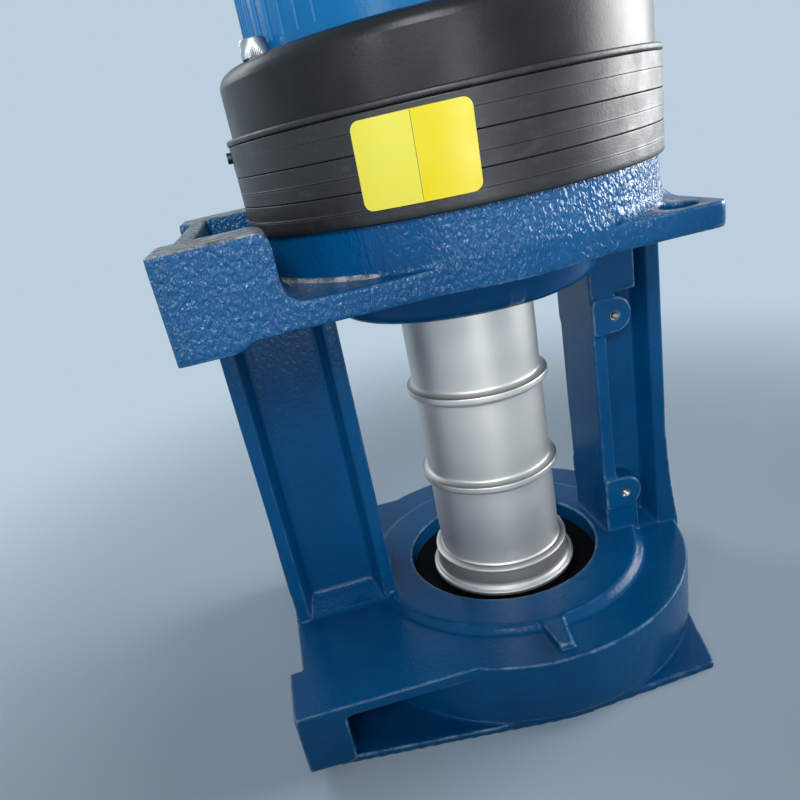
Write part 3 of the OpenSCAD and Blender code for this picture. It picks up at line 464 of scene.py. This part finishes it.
def set_world():
    """Even, faint light, which camera and mirror rays see as the backdrop's colour."""
    world = bpy.data.worlds.new("world")
    bpy.context.scene.world = world
    world.use_nodes = True
    tree = world.node_tree
    light = tree.nodes["Background"]
    light.inputs["Color"].default_value = (0.86, 0.93, 1.0, 1)
    light.inputs["Strength"].default_value = WORLD_LIGHT
    path = tree.nodes.new("ShaderNodeLightPath")
    seen = tree.nodes.new("ShaderNodeBackground")
    seen.inputs["Color"].default_value = (*BACKDROP, 1)
    direct = tree.nodes.new("ShaderNodeMath")
    direct.operation = "MAXIMUM"
    tree.links.new(path.outputs["Is Camera Ray"], direct.inputs[0])
    tree.links.new(path.outputs["Is Glossy Ray"], direct.inputs[1])
    mix = tree.nodes.new("ShaderNodeMixShader")
    tree.links.new(direct.outputs[0], mix.inputs[0])
    tree.links.new(light.outputs[0], mix.inputs[1])
    tree.links.new(seen.outputs[0], mix.inputs[2])
    tree.links.new(mix.outputs[0], tree.nodes["World Output"].inputs[0])


def floor_material():
    """A pale floor that takes the shadow near the machine and fades into the backdrop."""
    s = Shade("floor")
    tone = s.mix(s.step(s.noise(3, 4), 0.3, 0.7), srgb(184, 203, 218), srgb(188, 207, 222))
    path = s.node("ShaderNodeLightPath").outputs
    direct = s.math("MAXIMUM", path["Is Camera Ray"], path["Is Glossy Ray"])
    s.surface(s.mix(direct, srgb(70, 74, 78), tone), 0.9, level=0.0)
    away = s.node("ShaderNodeVectorMath", {0: s.place}, operation="LENGTH").outputs["Value"]
    far = s.node("ShaderNodeMapRange", {"Value": away, "From Min": 0.3, "From Max": 1.0},
                 interpolation_type="SMOOTHSTEP").outputs[0]
    glow = s.node("ShaderNodeEmission", {"Color": (*BACKDROP, 1)}).outputs[0]
    mix = s.node("ShaderNodeMixShader", {0: far, 1: s.bsdf.outputs[0], 2: glow})
    s.tree.links.new(mix.outputs[0], s.tree.nodes["Material Output"].inputs[0])
    return s.material


def make_floor():
    """A round floor, wide enough that its edge is never seen."""
    rings = [(0.001, 0), (400, 0), (1500, 0), (9000, 0)]
    mesh = plain_mesh("floor", *revolve(rings, 96, closed=False))
    mesh.materials.append(floor_material())
    add_object("floor", mesh)


def area_light(name, place, aim, size, power, spread, colour=(1, 1, 1)):
    """A rectangular lamp at place that faces aim; spread is its beam's angle in degrees."""
    data = bpy.data.lights.new(name, "AREA")
    data.shape = "RECTANGLE"
    data.size, data.size_y = size
    data.energy = power
    data.color = colour
    data.spread = math.radians(spread)
    obj = add_object(name, data)
    obj.location = place
    obj.rotation_euler = (Vector(place) - Vector(aim)).to_track_quat("Z", "Y").to_euler()


def set_lights():
    """A soft key and fill from the front, a wide lamp at the right edge and one behind."""
    area_light("key", (-0.30, -1.11, 1.05), (0, 0, 0.56), (0.40, 0.40), 1.5, 60, (0.94, 0.97, 1))
    area_light("front", (-0.02, -1.25, 0.30), (0, 0, 0.20), (0.3, 0.5), 0.22, 40)
    area_light("left_box", (-0.9, -1.1, 0.75), (0, 0, 0.46), (0.22, 0.45), 0.5, 80)
    area_light("edge", (1.27, 0.05, 0.64), (0, 0, 0.56), (1.3, 0.7), 6.0, 70, (1, 1, 0.99))
    area_light("back", (-1.2, 1.1, 1.2), (0, 0, 0.35), (0.8, 0.8), 8, 180, (0.92, 0.96, 1))


# ---------- pieces ----------

def frame_casting(material):
    """The frame with cast edges, cast skin and the bare metal along the foot's top."""
    obj = cast_copy("frame_casting", "machine_frame", material, voxel=1.15, rounds=10, ratio=0.32)
    mesh = obj.data
    co, normal = read_mesh(mesh)
    x, y, z = co.T * 1000
    radius = np.hypot(x, y)

    # skin: how rough the cast surface is, strongest on the foot block and the drum
    flange = ramp_up(z, 316, 324)
    drum = ramp_up(z, 338, 344)
    recess = ramp_up(radius, 150, 140) * ramp_up(z, 338, 342) * ramp_up(-x, 20, 60)
    skin = 0.10 + 0.90 * flange * (1 - 0.85 * recess)
    skin *= 1 - ramp_up(x, -150, -90) * (0.5 - 0.4 * drum)
    skin *= 1 - 0.6 * ramp_up(x, 80, 110) * (1 - drum)
    machined = (radius < 137) & (z > 360) | (radius < 78)
    skin = np.where(machined, 0, skin)

    # the rough wall between the foot pads, and the sand's waves
    raw_wall = ramp_up(z, 366, 376) * ramp_up(-x, 176, 180) * (np.abs(y) < 84)
    wave = lattice_noise(co, 0.0052, 3) * 0.5 + lattice_noise(co, 0.0026, 4) * 0.5
    broad = lattice_noise(co, 0.03, 5)
    push = (wave * (0.05 + 0.22 * skin) + broad * 0.25 * (skin > 0)) * MM
    push += raw_wall * lattice_noise(co, 0.012, 6) * 1.3 * MM

    # bare: the foot's top, its raw wall, the ledge beside the drum and round the ears' holes
    top = (normal[:, 2] > 0.6) & (z > 374) & (x < -120)
    co += normal * push[:, None]
    mesh.vertices.foreach_set("co", co.ravel())
    mesh.update()
    ledge = ramp_up(2.8 - np.hypot(radius - 141.2, z - 338.2), 0, 2) * ramp_up(-x, 60, 90)
    ear_top = (normal[:, 2] > 0.8) & (np.abs(z - PLATE_TOP) < 2) & (x > 60)
    hole_x, hole_y = EAR_HOLE
    ear_ring = ear_top * ramp_up(26 - np.hypot(x - hole_x, np.abs(y) - hole_y), 0, 8)
    bare = np.maximum.reduce([top * 1.0, raw_wall * 0.8, ledge * 0.9, ear_ring * 0.55])
    set_mask(mesh, "skin", skin)
    set_mask(mesh, "bare", bare)
    return obj


def pressed_springs(side, material):
    """A copy of one circuit's springs, with the node's place baked into its mesh."""
    node = f"brake_springs_{side}"
    obj = copied_node(f"pressed_springs_{side}", node, material)
    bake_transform(obj)
    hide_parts(node)
    return obj


def screw(d, length):
    """A socket head screw along -Z with its head's underside at height 0."""
    knurls = 48
    head_r, head_h, hex_r = d * 0.8, d, d * 0.46
    outer = []
    for i in range(knurls * 2):
        r = head_r if i % 2 else head_r - 0.03 * d
        a = math.pi * i / knurls
        outer.append((r * math.cos(a), r * math.sin(a)))
    count = len(outer)

    def knurled(scale, z):
        return [(x * scale, y * scale, z) for x, y in outer]

    def disc(r, z):
        return [(r * x / math.hypot(x, y), r * y / math.hypot(x, y), z) for x, y in outer]

    def hexagon(z, r):
        points = []
        for x, y in outer:
            a = math.atan2(y, x) % (math.pi / 3) - math.pi / 6
            q = r * math.cos(math.pi / 6) / math.cos(a)
            h = math.hypot(x, y)
            points.append((x / h * q, y / h * q, z))
        return points

    rings = [
        disc(d / 2 * 0.8, -length), disc(d / 2, -length + d * 0.12), disc(d / 2, 0),
        knurled(0.99, 0), knurled(1, 0.04 * head_h), knurled(1, 0.88 * head_h),
        disc(head_r * 0.9, head_h), disc(hex_r * 1.12, head_h),
        hexagon(head_h - 0.05 * d, hex_r), hexagon(head_h * 0.45, hex_r),
    ]
    verts = [p for r in rings for p in r]
    faces = []
    for k in range(len(rings) - 1):
        low, high = k * count, (k + 1) * count
        for i in range(count):
            j = (i + 1) % count
            faces.append((low + i, low + j, high + j, high + i))
    last = (len(rings) - 1) * count
    faces.append(tuple(range(last, last + count)))
    faces.append(tuple(reversed(range(count))))
    return verts, faces


def rounded(points, radius):
    """A profile of (radius, height) points with its corners turned to small arcs."""
    steps = 4
    out = []
    for i, b in enumerate(points):
        a, c = points[i - 1], points[(i + 1) % len(points)]
        ab, cb = math.dist(a, b), math.dist(c, b)
        cut = min(radius, ab * 0.45, cb * 0.45)
        p = [b[k] + (a[k] - b[k]) * cut / ab for k in (0, 1)]
        q = [b[k] + (c[k] - b[k]) * cut / cb for k in (0, 1)]
        for j in range(steps + 1):
            t = j / steps
            out.append(tuple((1 - t) ** 2 * p[k] + 2 * t * (1 - t) * b[k] + t * t * q[k]
                             for k in (0, 1)))
    return out


# The shaft's profile in parts, as (radius, height) points.
SHAFT_LOW_END = [(0.01, 5.2), (31, 5.2), (32.4, 6.6), (32.4, 8.9), (32.5, 8.9), (32.5, 42),
                 (43, 42), (43, 54.2)]
SHAFT_COLLAR = [(60.3, 54.2), (60.3, 56.9), (58.4, 58.3), (58.0, 58.0), (57.5, 59.0),
                (55.9, 60.4), (55.2, 62.5), (55.1, 66), (55.0, 72.4), (55.1, 73.2),
                (55.7, 73.8), (55.7, 75.4), (51.2, 77.2), (50, 79.2)]
SHAFT_JOURNALS = [(46, 306), (46, 322), (40, 322), (40, 361), (36, 361), (36, 496), (38, 496),
                  (38, 500), (33, 500), (33, 657), (24, 657), (24, 684), (20, 684), (20, 703),
                  (8, 703), (8, 731), (0.01, 731)]
KEY_SLOTS = [((31, -5, 369.8), (41, 5, 409.8)), ((28, -5, 512), (38, 5, 622))]


def lane_profile():
    """The three crowned lanes, each with the filleted ridge above it."""
    points = []
    for z in RIDGE_ZS:
        low = z - RIDGE_PITCH + 6.5 if z > RIDGE_ZS[0] else COLLAR_TOP
        points += [(LANE_R + 0.3 * (1 - (i / 4 - 1) ** 2), low + (z - 6.5 - low) * i / 8)
                   for i in range(1, 8)]
        points += [(LANE_R, z - 5.5), (LANE_R + 5.3, z - 2.3), (LANE_R + 5.3, z + 2.2),
                   (LANE_R + 0.6, z + 4.8), (LANE_R, z + 6.2)]
    return points


def box_mesh(name, boxes):
    """An object of boxes, each given by its lowest and highest corners in millimetres."""
    verts, faces = [], []
    for low, high in boxes:
        base = len(verts)
        verts += [((low, high)[i][0], (low, high)[j][1], (low, high)[k][2])
                  for i in (0, 1) for j in (0, 1) for k in (0, 1)]
        for f in ((0, 1, 3, 2), (4, 6, 7, 5), (0, 4, 5, 1), (2, 3, 7, 6), (0, 2, 6, 4),
                  (1, 5, 7, 3)):
            faces.append(tuple(base + i for i in f))
    return add_object(name, plain_mesh(name, verts, faces))


def turned_shaft(material):
    """The traction shaft with the fillets of its ridges and the rimmed collar under the lanes."""
    profile = (SHAFT_LOW_END + rounded(SHAFT_COLLAR, 0.7) + rounded(lane_profile(), 0.9)
               + SHAFT_JOURNALS)
    sharp = 50
    obj = piece("turned_shaft", *revolve(profile, 256, closed=False), material, "rotor", sharp)
    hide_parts("traction_shaft")
    slots = box_mesh("slots", KEY_SLOTS)
    cut = obj.modifiers.new("slots", "BOOLEAN")
    cut.operation = "DIFFERENCE"
    cut.object = slots
    applied(obj)
    bpy.data.objects.remove(slots)
    obj.data.shade_smooth()
    obj.data.set_sharp_from_angle(angle=math.radians(sharp))

    # painted shade lies on the ridges' upper flanks, and grime lies in the collar's groove
    co, normal = read_mesh(obj.data)
    radius, z = np.hypot(co[:, 0], co[:, 1]) * 1000, co[:, 2] * 1000
    flank = (radius > 51.2) & (radius < 54.9) & (normal[:, 2] > 0.4) & (z > 74)
    band = (z > 60) & (z < 73.2) & (radius > LANE_R)
    set_mask(obj.data, "shade_and_grime", np.maximum(flank * 0.75, band * 0.35))
    return obj


def circle_places(n, r, phase, z):
    """Places of n equal pieces on a circle round Z."""
    out = Matrix.Translation((r, 0, z))
    return [Matrix.Rotation(math.radians(phase + i * 360 / n), 4, "Z") @ out for i in range(n)]


def screws(name, node, d, length, places, material):
    """Screws at their places, which stand for a CAD node's."""
    obj = piece(name, *merged([moved(screw(d, length), m) for m in places]), material)
    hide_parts(node)
    return obj


def thread_sleeve(name, places, bore, depth, pitch, material):
    """The thread in a tapped hole: a zigzag profile turned round the hole's axis."""
    r_in, r_out = bore / 2 - 0.55 * pitch, bore / 2 + 0.25
    profile = [(r_out, 0.15), (bore / 2 + 0.05, 0.15)]
    turns = int(depth / pitch)
    for i in range(turns):
        profile += [(r_in, -pitch * (i + 0.5)), (bore / 2, -pitch * (i + 1))]
    profile += [(0.01, -pitch * turns - bore * 0.25), (0.01, -pitch * turns - bore * 0.3),
                (r_out, -pitch * turns)]
    part = revolve(profile, 40)
    return piece(name, *merged([moved(part, m) for m in places]), material)


def pad_places():
    """The tapped holes in the far column's pads, on both sides."""
    places = []
    for z in PAD_ZS:
        for side in (-1, 1):
            turn = Matrix.Rotation(math.radians(-90 * side), 4, "X")
            places.append(Matrix.Translation((PAD_X, side * PAD_FACE, z)) @ turn)
    return places


def foot_places():
    """The tapped holes in the feet's faces."""
    turn = Matrix.Rotation(math.radians(-90), 4, "Y")
    y = FOOT_HALF_W - FOOT_PAD_W / 2
    return [Matrix.Translation((-AXIS_HEIGHT, side * y, z)) @ turn
            for side in (-1, 1) for z in FOOT_HOLE_ZS]


# Lines round the band as (share of its height, kind), from the bottom up.
BAND_LINES = ((0.145, "crease"), (0.305, "cut"), (0.44, "crease"), (0.61, "cut"),
              (0.79, "crease"), (0.935, "cut"))
NEAR_LINE = (-2.2, -1.1, -0.6, -0.35, -0.2, -0.08, 0.0, 0.08, 0.2, 0.35, 0.6, 1.1, 2.2)


def line_push(kind, d, fade):
    """How far the band stands out at the height d above a line."""
    if kind == "cut":
        return -0.75 * math.exp(-((d / 0.24) ** 2)) + (0.28 * math.exp(-d / 0.9) if d > 0 else 0)
    raised = 0.22 * math.exp(-(((d - 0.15) / 0.3) ** 2))
    return fade * (raised - 0.20 * math.exp(-(((d + 0.25) / 0.16) ** 2)))


def band_rows(a, height):
    """The band's outer profile at the angle a, as (height, push) pairs."""
    rows = [(0.0, -1.0), (0.5, -0.3), (1.2, 0.0), (3.5, 0.0)]
    last = len(BAND_LINES) - 1
    for i, (level, kind) in enumerate(BAND_LINES):
        # the lines wander a little, and the highest crease fades out on one side
        sway = 0.006 * math.sin(a * (1 + i % 3) + i * 1.7) if i < last else 0
        fade = 0.5 + 0.5 * math.cos(a + 0.6) if i == last - 1 else 1
        line = (level + sway) * height
        rows += [(line + d, line_push(kind, d, fade)) for d in NEAR_LINE]
    # the lip over the highest line takes the place of that line's last points
    top = BAND_LINES[last][0] * height
    rows[-3:] = [(top + 0.5, 0.45), (top + 1.2, 0.75)]
    return rows + [(height - 1.2, 0.8), (height - 0.5, 0.55), (height, -0.2)]


def wrapped_band(material):
    """The rubber dust band: flat turns with thin dark undercuts, raised creases and a top lip."""
    steps = 288
    height = BAND_TOP - BAND_Z
    verts = []
    for s in range(steps):
        a = 2 * math.pi * s / steps
        profile = []
        for h, push in band_rows(a, height):
            slack = 0.12 * math.sin(3 * a + h * 0.08) + 0.06 * math.sin(11 * a - h * 0.15)
            profile.append((BAND_R + push + slack, BAND_Z + h))
        profile += [(BRAKE_R + 0.1, BAND_Z + h) for h in (height - 0.2, 0)]
        verts += turn_points(profile, a)
    faces = ring_faces(steps, len(profile))
    obj = piece("wrapped_band", verts, faces, material, flat_angle=60)
    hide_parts("dust_band")
    return obj


def label(material):
    """A bare film with rounded corners that lies round the band."""
    radius = BAND_R + 0.9
    corner = 5.0
    width = math.radians(LABEL_TO - LABEL_FROM) * radius
    height = LABEL_Z[1] - LABEL_Z[0]
    columns, rows = 56, 40
    verts, faces = [], []
    for thick in (0.0, 0.35):
        for i in range(columns + 1):
            u = width * i / columns
            for j in range(rows + 1):
                v = height * j / rows
                cu = min(max(u, corner), width - corner)
                cv = min(max(v, corner), height - corner)
                du, dv = u - cu, v - cv
                if du and dv:  # the corner's square grid is drawn in to a quarter circle
                    m = max(abs(du), abs(dv)) / math.hypot(du, dv)
                    du, dv = du * m, dv * m
                a = math.radians(LABEL_FROM) + (cu + du) / radius
                r = radius + thick
                verts.append((r * math.cos(a), r * math.sin(a), LABEL_Z[0] + cv + dv))
    n = (columns + 1) * (rows + 1)
    for i in range(columns):
        for j in range(rows):
            a = i * (rows + 1) + j
            quad = (a, a + rows + 1, a + rows + 2, a + 1)
            faces.append(tuple(q + n for q in quad))
            faces.append(tuple(reversed(quad)))
    edge = [i * (rows + 1) for i in range(columns + 1)]
    edge += [columns * (rows + 1) + j for j in range(1, rows + 1)]
    edge += [i * (rows + 1) + rows for i in range(columns - 1, -1, -1)]
    edge += list(range(rows - 1, 0, -1))
    for k, a in enumerate(edge):
        b = edge[(k + 1) % len(edge)]
        faces.append((a, b, b + n, a + n))
    return piece("label", verts, faces, material)


def divider(material):
    """The thin dark line across the bare label."""
    radius = BAND_R + 1.27
    half = 0.16
    verts, faces = [], []
    rows = 24
    for j in range(rows + 1):
        z = LABEL_Z[0] + 0.6 + (LABEL_Z[1] - LABEL_Z[0] - 1.2) * j / rows
        for s, r in ((-1, radius - 0.1), (-1, radius), (1, radius), (1, radius - 0.1)):
            a = math.radians(LABEL_SPLIT) + s * half / radius
            verts.append((r * math.cos(a), r * math.sin(a), z))
    for j in range(rows):
        for k in range(4):
            m = (k + 1) % 4
            faces.append((j * 4 + k, j * 4 + m, (j + 1) * 4 + m, (j + 1) * 4 + k))
    faces.append((0, 1, 2, 3))
    faces.append(tuple(rows * 4 + k for k in (3, 2, 1, 0)))
    return piece("label_divider", verts, faces, material)


# ---------- everything ----------

def dress(materials):
    """Gives every CAD node its material."""
    for name, obj in NODES.items():
        obj.data.materials.clear()
        obj.data.materials.append(materials[NODE_FINISH.get(name, "machined")])


# The CAD nodes' materials. Those that aren't named are machined steel.
NODE_FINISH = {
    "machine_frame": "casting", "outboard_cover": "casting",
    "outboard_cover_bolts": "zinc", "outboard_seal": "felt",
    "outboard_cage": "brass", "main_cage": "brass", "rear_cage": "brass",
    "outboard_circlip": "spring", "traction_shaft": "shaft", "brake_hub": "cast_iron",
    "friction_linings": "lining", "brake_housing": "black", "brake_coil_a": "copper",
    "brake_coil_b": "copper", "brake_springs_a": "spring", "brake_springs_b": "spring",
    "brake_bolts": "zinc", "dust_band": "rubber", "dust_band_screws": "spring",
    "motor_housing": "motor", "motor_tie_bolts": "zinc", "stator_core": "laminations",
    "stator_windings": "copper", "rotor_spider": "cast_iron", "rotor_magnets": "magnet",
    "end_shield": "motor", "encoder_body": "plastic", "encoder_cover": "plastic",
    "encoder_cover_screws": "zinc", "terminal_box": "motor", "terminal_box_screws": "zinc",
    "terminal_gasket": "rubber", "terminal_lid": "motor", "terminal_lid_screws": "zinc",
    "terminal_block": "ivory", "cable_glands": "plastic", "wave_spring": "spring",
}
for bearing in ("outboard", "main", "rear"):
    for ring in ("outer_race", "inner_race", "balls"):
        NODE_FINISH[f"{bearing}_{ring}"] = "bearing"

MATERIALS = {
    "casting": casting_paint(),
    "motor": motor_paint(),
    "black": black_paint(),
    "rubber": rubber(),
    "felt": plastic("seal black", (5, 5, 6), (12, 12, 13), 0.8, 0.1),
    "plastic": plastic("plastic black", (24, 24, 25), (38, 38, 39)),
    "ivory": plastic("terminal plastic", (196, 190, 172), (212, 207, 192)),
    # its darker colour is painted shade on the ridges' flanks and grime in the collar's groove
    "shaft": turned_metal("shaft nickel", (212, 210, 206), (222, 219, 213), 0.45,
                          metal=0.85, shade_and_grime=(98, 98, 90)),
    "bearing": turned_metal("bearing steel", (176, 178, 182), (200, 202, 206), 0.16),
    "brass": brushed_metal("cage brass", (160, 128, 62), (186, 150, 80), 0.34),
    "machined": brushed_metal("machined steel", (140, 142, 146), (172, 174, 178), 0.36),
    "zinc": brushed_metal("zinc fasteners", (150, 152, 154), (186, 188, 190), 0.34),
    "spring": brushed_metal("spring steel", (38, 38, 40), (62, 62, 64), 0.38, metal=0.7),
    "cast_iron": brushed_metal("cast iron", (78, 78, 80), (104, 104, 106), 0.5, metal=0.7),
    "lining": plastic("friction lining", (58, 50, 42), (82, 74, 62), 0.8),
    "copper": layered_metal("copper winding", (150, 78, 36), (186, 104, 52), 1.1, 0.36),
    "laminations": layered_metal("lamination steel", (88, 90, 94), (116, 118, 122), 0.65),
    "magnet": brushed_metal("magnet", (52, 54, 58), (76, 78, 82), 0.4),
}

bpy.context.scene.view_settings.view_transform = "Standard"
set_camera()
make_floor()
set_world()
set_lights()
dress(MATERIALS)
frame_casting(MATERIALS["casting"])
turned_shaft(MATERIALS["shaft"])
wrapped_band(MATERIALS["rubber"])
for side in "ab":
    pressed_springs(side, MATERIALS["spring"])
label(label_film())
divider(plastic("label ink", (70, 66, 20), (90, 86, 30), 0.5))
for fasteners in (
    screws("brake_screws", "brake_bolts", 9.9, 127,
           circle_places(6, BOLT_CIRCLE, BOLT_PHASE, BRAKE_TOP), MATERIALS["zinc"]),
    screws("tie_screws", "motor_tie_bolts", 5.9, 200,
           circle_places(6, TIE_CIRCLE, TIE_PHASE, SHIELD_TOP - TIE_SINK), MATERIALS["zinc"]),
    screws("cover_screws", "encoder_cover_screws", 4.9, 40,
           circle_places(4, CAP_CIRCLE, CAP_PHASE, SHIELD_TOP + CAP_H), MATERIALS["zinc"]),
):
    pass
for threads in (
    thread_sleeve("pad_threads", pad_places(), *PAD_HOLE, MATERIALS["machined"]),
    thread_sleeve("foot_threads", foot_places(), *FOOT_HOLE, MATERIALS["machined"]),
):
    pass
